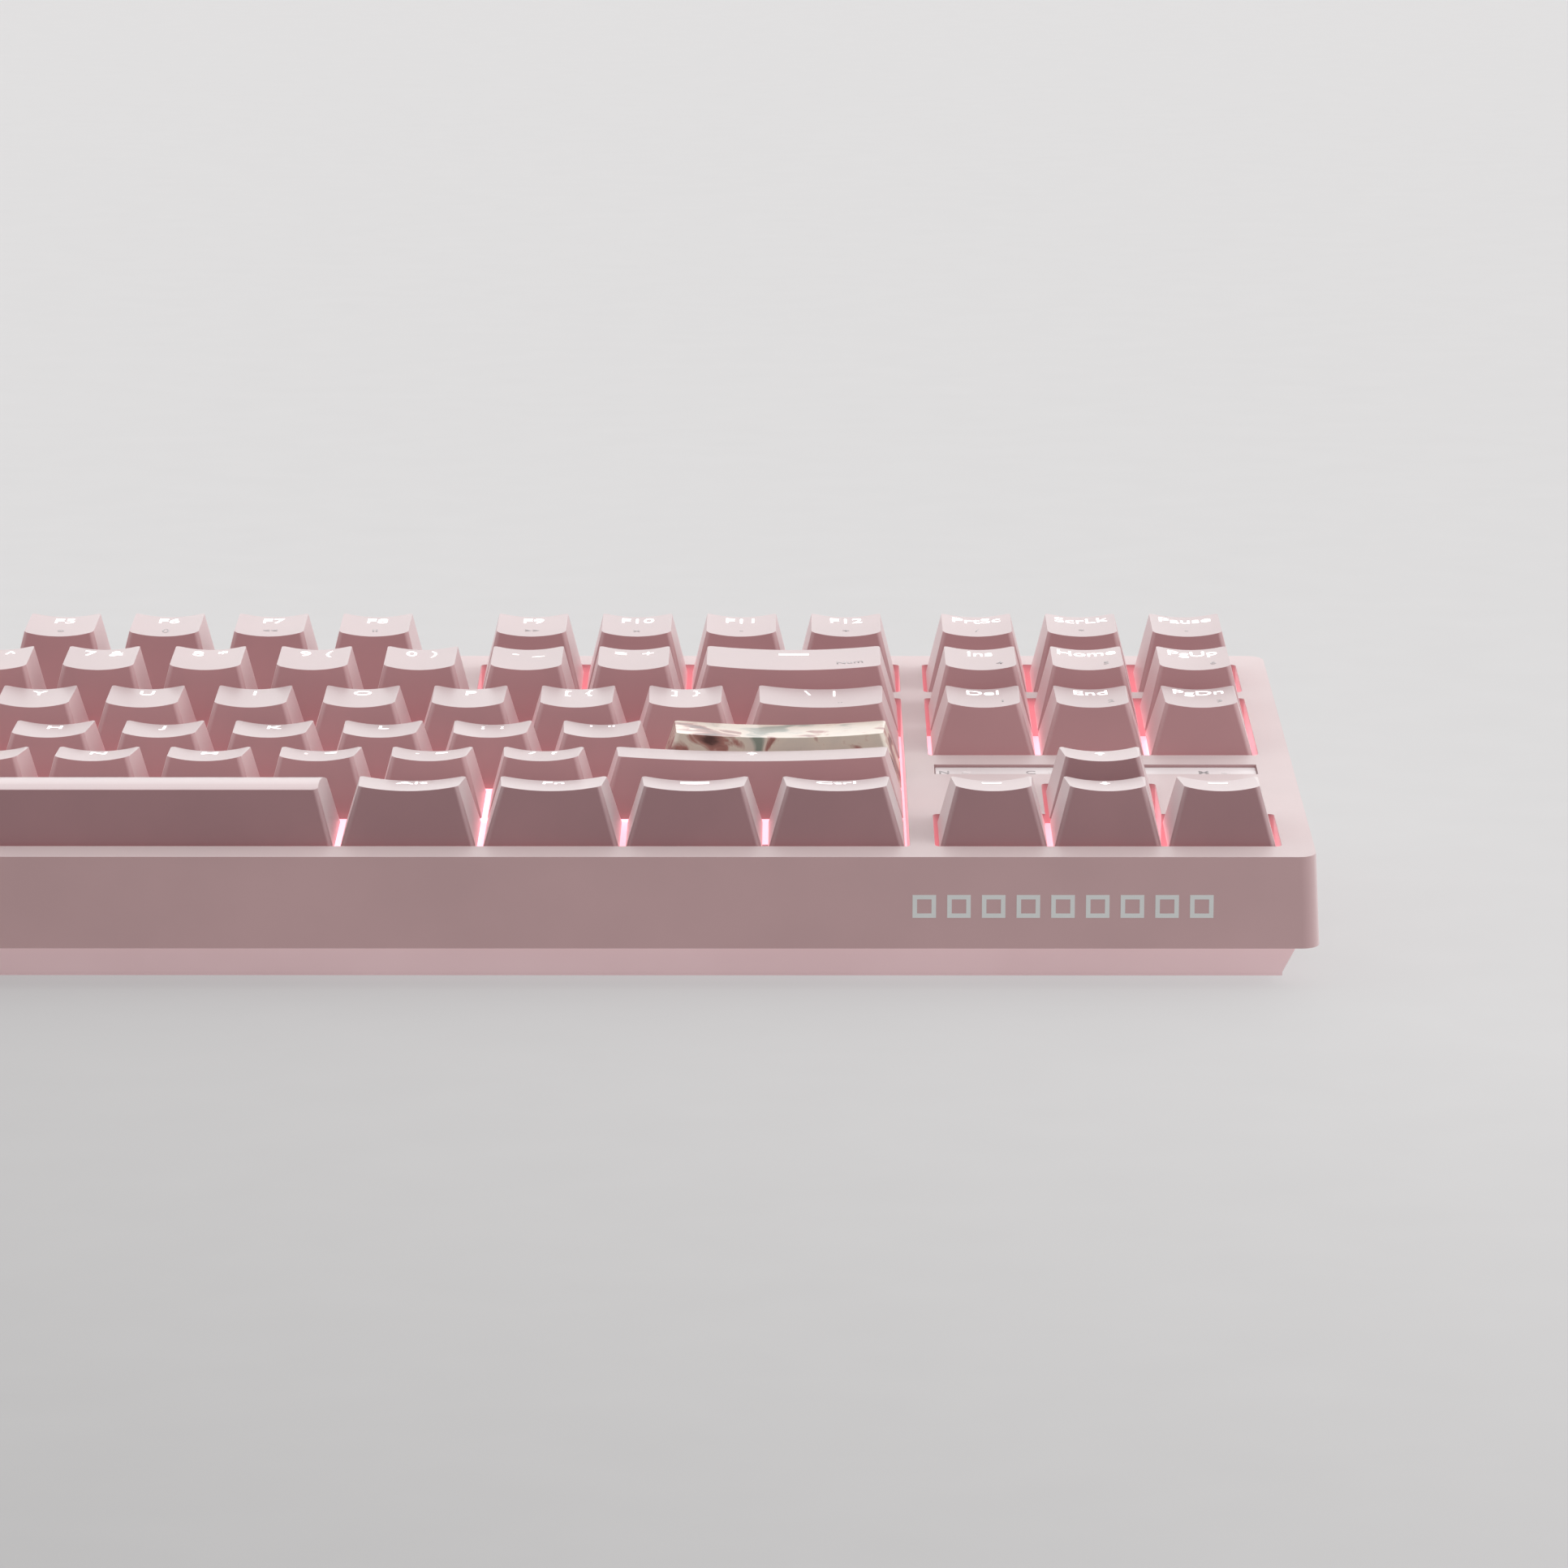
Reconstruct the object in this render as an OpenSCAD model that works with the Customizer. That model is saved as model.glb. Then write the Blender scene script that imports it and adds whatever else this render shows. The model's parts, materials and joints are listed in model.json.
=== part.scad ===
// Tenkeyless mechanical keyboard with 87 keys.
// World frame: +X right, +Y back, +Z up, origin under the middle of the case on the desk.
// Everything but the underside is drawn in the deck frame: X as above, y from the front edge
// of the bottom key row, z from the top of the bezel, tilted back by the typing angle.

/* [Case] */
// Angle between the key deck and the desk
typing_angle = 6; // [5.8:0.1:8]
// Height of the top case's walls below the bezel
top_case_h = 15.6; // [15:0.1:18]
// Height of the bottom case that shows under the front wall
tray_front_h = 5.9; // [5:0.1:7]
// Width of the bezel at the left and right ends
side_border = 5.7; // [5.6:0.1:9]
// Width of the bezel along the front and the back
front_border = 6.7; // [6.5:0.1:9]
// How far the case walls lean out over their height
wall_draft = 0.8; // [0:0.05:1.5]
// Thickness of the case walls
wall_t = 2.4; // [2:0.1:2.6]
// Radius of the case corners in plan
corner_r = 3; // [2:0.5:6]

/* [Keys] */
// Distance from one key to the next
pitch = 19.05; // [19:0.01:19.1]
// Gap between the function row and the number row
function_gap = 5; // [4.8:0.05:6]
// Gap between the letter block and the navigation block
nav_gap = 4.7625; // [4.6:0.05:6]
// Travel of a key
travel = 4; // [3:0.1:4]
// Depth of the finger dish in a keycap
dish_depth = 0.8; // [0.5:0.05:1]
// Wall thickness of a keycap
cap_wall = 1.4; // [1.2:0.1:1.5]

/* [Feet] */
// Length of a flip-out foot
foot_len = 20; // [16:1:24]
// Width of a flip-out foot
foot_w = 26; // [20:1:32]
// Height of the rubber pads below the bottom case
pad_h = 1.2; // [0.8:0.1:2]

/* [Hidden] */
$fn = 48;
fine = 200;
e = 0.01;
bore = 60;
turn_gap = 0.06;
pale = "#efdcdc";
pink = "#f6a9bd";

// layout of the deck
main_w = 15 * pitch;
nav_w = 3 * pitch;
layout_w = main_w + nav_gap + nav_w;
left = -layout_w / 2;
nav_x = left + main_w + nav_gap;
row_y = [0, pitch, 2 * pitch, 3 * pitch, 4 * pitch, 5 * pitch + function_gap];
deck_back = row_y[5] + pitch + front_border;
deck_front = -front_border;
deck_w = layout_w + 2 * side_border;

// keycap profile by row, from the bottom row to the function row
top_front_z = [9.1, 9, 7.95, 8.25, 10.05, 10.05];
top_back_z = [6.9, 6.85, 6.4, 7.75, 10.05, 10.05];
cap_gap = 0.95;
cap_base_z = -1;
top_front_y = 4.25;
top_back_y = 18.3;
space_crown = 0.9;

// one entry per key: [first unit, row, width in units]
function run(first, row, count, w) = [for (i = [0:count - 1]) [first + i * w, row, w]];
escape_keys = run(0, 5, 1, 1);
function_keys = concat(run(2, 5, 4, 1), run(6.5, 5, 4, 1), run(11, 5, 4, 1));
number_keys = run(0, 4, 13, 1);
backspace_keys = run(13, 4, 1, 2);
tab_keys = run(0, 3, 1, 1.5);
top_letter_keys = run(1.5, 3, 12, 1);
backslash_keys = run(13.5, 3, 1, 1.5);
caps_keys = run(0, 2, 1, 1.75);
home_letter_keys = run(1.75, 2, 11, 1);
enter_keys = run(12.75, 2, 1, 2.25);
left_shift_keys = run(0, 1, 1, 2.25);
bottom_letter_keys = run(2.25, 1, 10, 1);
right_shift_keys = run(12.25, 1, 1, 2.75);
left_modifier_keys = run(0, 0, 3, 1.25);
space_keys = run(3.75, 0, 1, 6.25);
right_modifier_keys = run(10, 0, 4, 1.25);
nav_unit = (main_w + nav_gap) / pitch;
system_keys = run(nav_unit, 5, 3, 1);
navigation_keys = concat(run(nav_unit, 4, 3, 1), run(nav_unit, 3, 3, 1));
arrow_keys = concat(run(nav_unit, 0, 3, 1), run(nav_unit + 1, 1, 1, 1));
all_keys = concat(escape_keys, function_keys, system_keys, number_keys, backspace_keys,
  tab_keys, top_letter_keys, backslash_keys, caps_keys, home_letter_keys, enter_keys,
  left_shift_keys, bottom_letter_keys, right_shift_keys, left_modifier_keys, space_keys,
  right_modifier_keys, navigation_keys, arrow_keys);
stabilized_keys = [for (k = all_keys) if (k[2] >= 2) k];
function key_x(k) = left + (k[0] + k[2] / 2) * pitch;
function key_y(k) = row_y[k[1]] + pitch / 2;
function stab_x(k) = k[2] > 6 ? 50 : 11.94;
function cap_lean(w) = w > 1 ? 3.1 : 2.75;

// switch, measured from the top of the plate
plate_z = -7.3;
plate_t = 1.5;
housing_w = 13.9;
flange_w = 15.6;
flange_h = 1;
housing_top_z = plate_z + 6.6;
housing_top_w = 10.2;
housing_wall = 1.2;
board_z = plate_z - 5;
board_t = 1.6;
housing_floor_z = board_z + 1.3;
collar_x = 7;
collar_y = 5.6;
stem_top_z = 2.9;
cross_l = 4;
cross_t = 1.15;
boss_r = 2.7;
spring_r = 2.2;
led_y = 4.9;
led_w = 3.2;
led_d = 2.8;
led_h = 1.6;

// chips under the board: [x, width, depth]
chips = [[60, 9, 9], [78, 5, 6.2], [92, 5, 6.2]];
chip_h = 1.4;

// stabilizer wire
wire_r = 0.8;
wire_y = -8.9;
wire_z = plate_z + 1;
wire_arm = 10.6;
wire_rest = asin(travel / 2 / -wire_y);
stab_w = 7;
stab_slot = 5;
slider_w = 4.6;

// case levels
rim_z = plate_z + 0.2;
rim_t = 1.4;
skin_t = 2.2;
cut_gap = 0.3;
fold_z = -top_case_h;
tray_in = 3.4;
chamfer_in = 2.45;
lip_h = 2.5;
lip_in = 5.4;
tongue_top_z = -10;
tongue_w = 10;
nose_z = -12.4;
nose_h = 1.2;
screw_top_z = -4.2;
screw_seat_z = -17.4;
screw_r = 1.25;
screw_head_r = 2.3;
post_r = 2.9;
column_r = 2.4;

// the deck's place in the world frame
deck_z = pad_h + tray_front_h + top_case_h * cos(typing_angle);
tray_rear = deck_back + wall_draft - tray_in - chamfer_in;
tray_deep = deck_z + (tray_rear - deck_front) * sin(typing_angle);
front_y = deck_front * cos(typing_angle);
back_y = (deck_back + wall_draft) * cos(typing_angle) + top_case_h * sin(typing_angle);
world_y = -(front_y + back_y) / 2;
lift = deck_z - deck_front * sin(typing_angle);

// underside
foot_x = 120;
foot_pivot_y = 47;
foot_pivot_z = pad_h + 2.7;
foot_t = 3.6;
foot_rim = 3;
foot_web = 1.4;
pin_r = 1.4;
pocket_wall = 1.6;
pocket_y0 = foot_pivot_y - foot_len - 1.2;
pocket_y1 = foot_pivot_y + 4.2;
pocket_top = foot_pivot_z + foot_t / 2 + 0.6;
pad_w = 40;
pad_d = 7;
pad_sunk = 0.6;
pad_places = [for (x = [-140, 140], y = [-49, 58]) [x, y]];
floor_t = 2.2;
usb_x = -40;
usb_z = fold_z - tray_front_h - 5.5;
shell_w = 8.94;
shell_h = 3.26;
recess_w = 14;
recess_h = 8;
recess_deep = 5.6;
indicator_w = 56;
indicator_d = 6.1;
indicator_y = 2.5 * pitch;
indicator_step = 15;
indicator_top_z = -0.45;
boss_z = housing_top_z + 0.2;
screw_back_y = row_y[5] + 9;
screw_front_y = 1.45 * pitch;
screw_places = [[left + 1.5 * pitch, screw_back_y], [left + 6.25 * pitch, screw_back_y],
  [left + 10.75 * pitch, screw_back_y], [nav_x + 0.5 * pitch, screw_front_y],
  [nav_x + 2.5 * pitch, screw_front_y]];
tongue_places = [-150, -75, 0, 75, 150];

module deck() {
  translate([0, world_y, lift]) rotate([typing_angle, 0, 0]) children();
}

module box(w, d, z0, z1) {
  translate([-w / 2, -d / 2, z0]) cube([w, d, z1 - z0]);
}

// a prism along Y from points in X and Z
module along_y(points, y0, y1) {
  translate([0, y1, 0]) rotate([90, 0, 0]) linear_extrude(y1 - y0) polygon(points);
}

// a prism along X from points in Y and Z
module along_x(points, x0, x1) {
  translate([x0, 0, 0]) rotate([90, 0, 90]) linear_extrude(x1 - x0) polygon(points);
}

// a square frustum from z0 to z1
module frustum(w0, d0, w1, d1, z0, z1) {
  intersection() {
    along_y([[-w0 / 2, z0], [w0 / 2, z0], [w1 / 2, z1], [-w1 / 2, z1]], -d0, d0);
    along_x([[-d0 / 2, z0], [d0 / 2, z0], [d1 / 2, z1], [-d1 / 2, z1]], -w0, w0);
  }
}

module plan(w, y0, y1, r, z0, z1) {
  translate([0, 0, z0]) linear_extrude(z1 - z0) {
    translate([-w / 2 + r, y0]) square([w - 2 * r, y1 - y0]);
    translate([-w / 2, y0 + r]) square([w, y1 - y0 - 2 * r]);
    for (x = [-w / 2 + r, w / 2 - r], y = [y0 + r, y1 - r]) translate([x, y]) circle(r);
  }
}

// a case shell's solid: drafted walls, rounded corners, inset by a wall thickness
module drafted(inset, z0, z1) {
  top_w = deck_w / 2 - inset;
  low_w = top_w + wall_draft;
  y0 = deck_front + inset;
  y1 = deck_back - inset;
  intersection() {
    along_y([[-low_w, fold_z], [low_w, fold_z], [top_w, 0], [-top_w, 0]], y0 - 9, y1 + 9);
    along_x([[y0 - wall_draft, fold_z], [y1 + wall_draft, fold_z], [y1, 0], [y0, 0]],
      -low_w - 9, low_w + 9);
    plan(2 * low_w, y0 - wall_draft, y1 + wall_draft, max(corner_r - inset, 0.8), z0, z1);
  }
}

// the clusters of keys that share a cut-out: [first unit, units, first y, last y]
clusters = [[0, 1, row_y[5], row_y[5] + pitch], [2, 4, row_y[5], row_y[5] + pitch],
  [6.5, 4, row_y[5], row_y[5] + pitch], [11, 4, row_y[5], row_y[5] + pitch],
  [nav_unit, 3, row_y[5], row_y[5] + pitch], [0, 15, 0, row_y[4] + pitch],
  [nav_unit, 3, row_y[3], row_y[4] + pitch], [nav_unit, 3, 0, pitch],
  [nav_unit + 1, 1, 0, 2 * pitch]];

module cluster_cuts(grow, z0, z1) {
  for (c = clusters)
    translate([left + c[0] * pitch - grow, c[2] - grow, z0])
      cube([c[1] * pitch + 2 * grow, c[3] - c[2] + 2 * grow, z1 - z0]);
}

module indicator_cut(grow, z0, z1) {
  translate([nav_x + nav_w / 2, indicator_y, 0])
    box(indicator_w + 2 * grow, indicator_d + 2 * grow, z0, z1);
}

module top_case() {
  color(pale) deck() difference() {
    drafted(0, fold_z, 0);
    cluster_cuts(cut_gap, rim_z - 1, 1);
    indicator_cut(0, rim_z - 1, 1);
    difference() {
      drafted(wall_t, fold_z - 1, -skin_t);
      cluster_cuts(cut_gap + rim_t, rim_z, 0);
      indicator_cut(1.2, -4.4, 0);
      for (p = screw_places) translate([p[0], p[1], plate_z + 0.2]) cylinder(r = post_r, h = 7);
    }
    for (p = screw_places) translate([p[0], p[1], plate_z]) cylinder(r = screw_r + 0.05, h = 4);
    tongue_noses(0.2);
  }
}

// noses of the bottom case's front tongues, in pockets of the top case's front wall
module tongue_noses(grow) {
  for (x = tongue_places) translate([x, deck_front + 2, 0])
    box(tongue_w - 2 + 2 * grow, 2.2 + 2 * grow, nose_z - grow, nose_z + nose_h + grow);
}

// a lip that stands inside the top case's walls, with taller tongues along the front
module tray_lip() {
  difference() {
    union() {
      drafted(wall_t + 0.1, fold_z, fold_z + lip_h);
      intersection() {
        drafted(wall_t + 0.1, fold_z, tongue_top_z);
        for (x = tongue_places) translate([x, deck_front, 0]) box(tongue_w, 12, fold_z, 0);
      }
    }
    drafted(lip_in, fold_z - 1, 0);
  }
  tongue_noses(0);
}

// outer body of the bottom case: an inset tray, chamfered inwards, flat underneath
module tray_block(inset, floor_z) {
  w = deck_w / 2 + wall_draft - tray_in - inset;
  y0 = deck_front - wall_draft + tray_in + inset;
  y1 = deck_back + wall_draft - tray_in - inset;
  knee = fold_z - tray_front_h;
  deep = -tray_deep - 5;
  intersection() {
    deck() along_y([[-w + chamfer_in, deep], [w - chamfer_in, deep], [w - chamfer_in, knee],
      [w, fold_z], [-w, fold_z], [-w + chamfer_in, knee]], y0 - 5, y1 + 5);
    deck() along_x([[y0 + chamfer_in, deep], [y1 - chamfer_in, deep], [y1 - chamfer_in, knee],
      [y1, fold_z], [y0, fold_z], [y0 + chamfer_in, knee]], -w - 5, w + 5);
    deck() plan(2 * w, y0, y1, max(corner_r - 1 - inset, 0.8), deep, fold_z);
    translate([-300, -300, floor_z]) cube([600, 600, 100]);
  }
}

module foot_pocket(grow, top) {
  for (s = [-1, 1])
    translate([s * foot_x - foot_w / 2 - 0.4 - grow, pocket_y0 - grow, -1])
      cube([foot_w + 0.8 + 2 * grow, pocket_y1 - pocket_y0 + 2 * grow, top + 1 + grow]);
}

module usb_recess(grow, y0, y1) {
  translate([usb_x - recess_w / 2 - grow, y0, usb_z - recess_h / 2 - grow])
    cube([recess_w + 2 * grow, y1 - y0, recess_h + 2 * grow]);
}

module bottom_case() {
  color("#f4e6e6") difference() {
    union() {
      difference() {
        tray_block(0, pad_h);
        tray_block(wall_t - 0.3, pad_h + floor_t);
      }
      intersection() {
        tray_block(0.5, pad_h);
        union() {
          foot_pocket(pocket_wall, pocket_top);
          deck() for (p = screw_places)
            translate([p[0], p[1], -bore]) cylinder(r = column_r + 0.6, h = bore);
          deck() usb_recess(pocket_wall, tray_rear - recess_deep - 1.2, tray_rear);
        }
      }
      deck() tray_lip();
      deck() for (p = screw_places)
        translate([p[0], p[1], fold_z - 0.5])
          cylinder(r = column_r, h = plate_z - plate_t - 0.2 - fold_z + 0.5);
    }
    foot_pocket(0, pocket_top);
    for (s = [-1, 1]) translate([s * foot_x, foot_pivot_y, foot_pivot_z])
      rotate([0, 90, 0]) cylinder(r = pin_r + turn_gap, h = foot_w + 4, center = true);
    deck() usb_recess(0, tray_rear - recess_deep, tray_rear + 5);
    deck() translate([usb_x, tray_rear - 9, usb_z]) rotate([-90, 0, 0]) usb_outline(0.15, 6);
    deck() for (p = screw_places) {
      translate([p[0], p[1], -bore]) cylinder(r = screw_r + 0.15, h = bore);
      translate([p[0], p[1], -bore]) cylinder(r = screw_head_r + 0.2, h = bore + screw_seat_z);
    }
    for (p = pad_places) translate([p[0], p[1], 0])
      box(pad_w + 0.3, pad_d + 0.3, -1, pad_h + pad_sunk + 0.1);
  }
}

module rubber_pads() {
  color("#b9b2b4") for (p = pad_places) translate([p[0], p[1], 0])
    box(pad_w, pad_d, 0, pad_h + pad_sunk);
}

module switch_plate() {
  color("#f2ecee") deck() difference() {
    plan(deck_w - 2 * wall_t - 0.8, deck_front + wall_t + 0.4, deck_back - wall_t - 0.4, 2,
      plate_z - plate_t, plate_z);
    for (k = all_keys) translate([key_x(k), key_y(k), 0])
      box(housing_w + 0.1, housing_w + 0.1, plate_z - 3, plate_z + 1);
    for (k = stabilized_keys, s = [-1, 1]) translate([key_x(k) + s * stab_x(k), key_y(k) - 1.6, 0])
      box(stab_w + 0.2, 15.4, plate_z - 3, plate_z + 1);
    for (p = screw_places) translate([p[0], p[1], plate_z - 3]) cylinder(r = screw_r + 0.6, h = 5);
  }
}

module circuit_board() {
  color("#5b3b46") deck() difference() {
    plan(deck_w - 2 * wall_t - 6, 0.4, deck_back - wall_t - 3, 2, board_z - board_t, board_z);
    for (k = all_keys) translate([key_x(k), key_y(k), board_z - 3]) cylinder(r = 2.05, h = 5);
    for (p = screw_places) translate([p[0], p[1], board_z - 3]) cylinder(r = column_r + 0.5, h = 5);
  }
}

// the controller and two lamp drivers, under the board where there are no switches
module controller_chips() {
  chip_z = board_z - board_t;
  color("#222222") deck() for (c = chips)
    translate([c[0], row_y[5] - function_gap / 2, 0]) box(c[1], c[2], chip_z - chip_h, chip_z);
}

// the small board that carries the rear socket
module socket_board() {
  color("#5b3b46") deck() difference() {
    translate([usb_x, tray_rear - 13, usb_z - 1.8]) box(22, 12, -board_t, 0);
    for (s = [-1, 1]) translate([usb_x + s * 8.5, tray_rear - 16, usb_z - 8]) cylinder(r = 1.1, h = 8);
  }
}

module bottom_housing() {
  difference() {
    union() {
      box(housing_w, housing_w, board_z, plate_z + e);
      box(flange_w, flange_w, plate_z, plate_z + flange_h);
      translate([0, 0, board_z - 3]) cylinder(r = 1.95, h = 3 + e);
    }
    box(11.8, 11.8, housing_floor_z, plate_z + 2);
    translate([0, led_y, 0]) box(led_w + 0.8, led_d + 0.6, board_z - 1, housing_floor_z + 1);
  }
  translate([0, 0, housing_floor_z - e]) cylinder(r = 1.5, h = 3);
}

module top_housing() {
  base_z = plate_z + flange_h;
  difference() {
    frustum(14, 14, housing_top_w, housing_top_w, base_z, housing_top_z);
    frustum(14 - 2 * housing_wall, 14 - 2 * housing_wall, housing_top_w - 2 * housing_wall,
      housing_top_w - 2 * housing_wall, base_z - e, housing_top_z - housing_wall);
    box(collar_x + 0.4, collar_y + 0.4, base_z, 1);
  }
}

module cross(l, t, z0, z1) {
  box(l, t, z0, z1);
  box(t, l, z0, z1);
}

module switch_stem() {
  difference() {
    union() {
      box(7.6, 6.4, plate_z + 0.8, housing_top_z - housing_wall - 0.2);
      box(collar_x, collar_y, housing_top_z - 2, housing_top_z);
    }
    translate([0, 0, plate_z]) cylinder(r = spring_r + 0.4, h = 4);
  }
  cross(cross_l, cross_t, housing_top_z - e, stem_top_z);
}

module spring() {
  z0 = housing_floor_z + 0.02;
  z1 = plate_z + 4 - 0.02;
  translate([0, 0, z0]) difference() {
    cylinder(r = spring_r, h = z1 - z0);
    translate([0, 0, -1]) cylinder(r = spring_r - 0.35, h = z1 - z0 + 2);
  }
}

module switch_top_housings() {
  color("#fbe9ee") deck() for (k = all_keys) translate([key_x(k), key_y(k), 0]) top_housing();
}

module switch_bottom_housings() {
  color("#f7dfe6") deck() for (k = all_keys) translate([key_x(k), key_y(k), 0]) bottom_housing();
}

module switch_springs() {
  color("silver") deck() for (k = all_keys) translate([key_x(k), key_y(k), 0]) spring();
}

// a stabilizer housing: open on top and in front, with a hooked tongue for the wire
module stabilizer_housing() {
  floor_z = board_z + 0.1;
  difference() {
    union() {
      translate([0, 0.5, 0]) box(stab_w, 11, floor_z, -2.4);
      translate([0, wire_y + 2.1, 0]) box(stab_w, 4.6, plate_z - plate_t, wire_z);
    }
    translate([0, 0.3, 0]) box(stab_slot, 5.4, floor_z + 0.6, 1);
    translate([0, 0, boss_z - travel - 0.3]) cylinder(r = boss_r + 0.2, h = travel);
    translate([0, -5, 0]) box(2.4, 12, wire_z - 3.4, 1);
    translate([0, wire_y, wire_z]) rotate([0, 90, 0])
      cylinder(r = wire_r + turn_gap, h = 20, center = true);
    translate([0, wire_y - 1.5, 0]) box(20, 3, plate_z - 5, wire_z - 2);
  }
}

module stabilizer_housings() {
  color("#fbe9ee") deck() for (k = stabilized_keys, s = [-1, 1])
    translate([key_x(k) + s * stab_x(k), key_y(k), 0]) stabilizer_housing();
}

// a stabilizer slider: a block with a window for the wire's end, and a cross on top
module stabilizer_slider() {
  difference() {
    translate([0, 0.3, 0]) box(slider_w, 4.8, wire_z - 1.1, housing_top_z);
    box(2.6, 9, wire_z + 0.5, wire_z + 3.6);
  }
  cross(cross_l, cross_t, housing_top_z - e, stem_top_z);
}

module backlight_leds() {
  color("#ff5f96") deck() {
    for (k = all_keys) translate([key_x(k), key_y(k) + led_y, 0])
      box(led_w, led_d, board_z, board_z + led_h);
    for (i = [-1.5:1.5]) translate([nav_x + nav_w / 2 + i * indicator_step, indicator_y, 0])
      box(led_w, led_d, board_z, board_z + led_h);
  }
}

module indicator_window() {
  color("white") deck() translate([nav_x + nav_w / 2, indicator_y, 0]) {
    box(indicator_w - 0.3, indicator_d - 0.3, -4, indicator_top_z);
    for (i = [-1.5:1.5]) translate([i * indicator_step, 0, 0]) box(4, 3, plate_z + 0.2, -4 + e);
  }
}

module case_screws() {
  color("silver") deck() for (p = screw_places) translate([p[0], p[1], 0]) difference() {
    union() {
      translate([0, 0, screw_seat_z - 1.6]) cylinder(r = screw_head_r, h = 1.6);
      translate([0, 0, screw_seat_z - e]) cylinder(r = screw_r, h = screw_top_z - screw_seat_z);
    }
    cross(2.4, 0.6, screw_seat_z - 3, screw_seat_z - 0.6);
  }
}

module usb_outline(grow, h) {
  r = shell_h / 2;
  hw = shell_w / 2 - r;
  for (s = [-1, 1]) translate([s * hw, 0, 0]) cylinder(r = r + grow, h = h);
  translate([-hw, -r - grow, 0]) cube([2 * hw, 2 * (r + grow), h]);
}

module usb_port() {
  color("silver") deck() translate([usb_x, tray_rear - 12.6, usb_z]) rotate([-90, 0, 0]) {
    difference() {
      usb_outline(0, 7.4);
      translate([0, 0, 1.2]) usb_outline(-0.3, 8);
    }
    translate([-3.3, -0.35, 1.1]) cube([6.6, 0.7, 5.2]);
  }
}

module flip_foot(s) {
  translate([s * foot_x, foot_pivot_y, foot_pivot_z]) {
    difference() {
      translate([-foot_w / 2, -foot_len, -foot_t / 2]) cube([foot_w, foot_len, foot_t]);
      translate([-foot_w / 2 + foot_rim, -foot_len + foot_rim, -foot_t / 2 + foot_web])
        cube([foot_w - 2 * foot_rim, foot_len - 7, foot_t]);
    }
    rotate([0, 90, 0]) cylinder(r = foot_t / 2, h = foot_w, center = true);
    rotate([0, 90, 0]) cylinder(r = pin_r, h = foot_w + 3, center = true);
  }
}

module left_flip_foot() {
  color("#f4e6e6") flip_foot(-1);
}

module right_flip_foot() {
  color("#f4e6e6") flip_foot(1);
}

// a keycap shell in its own cell, whose front edge is y = 0
module cap_block(w, row, inset, lower) {
  base = w * pitch / 2 - cap_gap / 2 - inset;
  crest = base - cap_lean(w);
  z_top = max(top_front_z[row], top_back_z[row]);
  front = top_front_z[row] - lower;
  back = top_back_z[row] - lower;
  intersection() {
    along_y([[-base, cap_base_z], [base, cap_base_z], [crest, z_top], [-crest, z_top]],
      -5, pitch + 5);
    along_x([[cap_gap / 2 + inset, cap_base_z], [pitch - cap_gap / 2 - inset, cap_base_z],
      [top_back_y - inset, back], [top_front_y + inset, front]], -w * pitch, w * pitch);
  }
}

module dish(w, row) {
  half = w * pitch / 2 - cap_gap / 2 - cap_lean(w);
  r = half * half / (2 * dish_depth) + dish_depth / 2;
  slope = atan2(top_back_z[row] - top_front_z[row], top_back_y - top_front_y);
  translate([0, top_front_y, top_front_z[row]]) rotate([-90 + slope, 0, 0])
    translate([0, -(r - dish_depth), -20]) cylinder(r = r, h = 60, $fn = fine);
}

// the space bar's top is arched from front to back
module crown(row) {
  run_y = top_back_y - top_front_y;
  rise = top_back_z[row] - top_front_z[row];
  half = norm([run_y, rise]) / 2;
  r = half * half / (2 * space_crown) + space_crown / 2;
  slope = atan2(rise, run_y);
  translate([0, (top_front_y + top_back_y) / 2, (top_front_z[row] + top_back_z[row]) / 2])
    rotate([slope, 0, 0]) translate([0, 0, -(r - space_crown / 2)]) rotate([0, 90, 0])
      cylinder(r = r, h = 200, center = true, $fn = fine);
}

module keycap(k) {
  w = k[2];
  row = k[1];
  places = w >= 2 ? [-stab_x(k), 0, stab_x(k)] : [0];
  difference() {
    if (w > 6) intersection() {
      cap_block(w, row, 0, -0.5);
      crown(row);
    } else difference() {
      cap_block(w, row, 0, 0);
      dish(w, row);
    }
    difference() {
      translate([0, 0, -e]) cap_block(w, row, cap_wall, dish_depth + 1.5);
      for (x = places) translate([x, pitch / 2, boss_z]) cylinder(r = boss_r, h = 12);
    }
    for (x = places) translate([x, pitch / 2, 0])
      cross(cross_l + 0.1, cross_t + 0.1, -3, stem_top_z + 0.3);
  }
}

module keycaps(keys) {
  color(pink) deck() for (k = keys) translate([key_x(k), row_y[k[1]], 0]) keycap(k);
}

module stems(keys) {
  color("#c23a56") deck() for (k = keys) translate([key_x(k), key_y(k), 0]) {
    switch_stem();
    if (k[2] >= 2) for (s = [-1, 1]) translate([s * stab_x(k), 0, 0]) stabilizer_slider();
  }
}

// a stabilizer wire: a bar along X in front of the switch, with an arm to each slider
module stabilizer_wire(k) {
  color("silver") deck() translate([key_x(k), key_y(k) + wire_y, wire_z]) {
    rotate([0, 90, 0]) cylinder(r = wire_r, h = 2 * stab_x(k), center = true);
    for (s = [-1, 1]) translate([s * stab_x(k), 0, 0]) {
      sphere(r = wire_r);
      rotate([-90 + wire_rest, 0, 0]) cylinder(r = wire_r, h = wire_arm);
    }
  }
}

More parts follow.
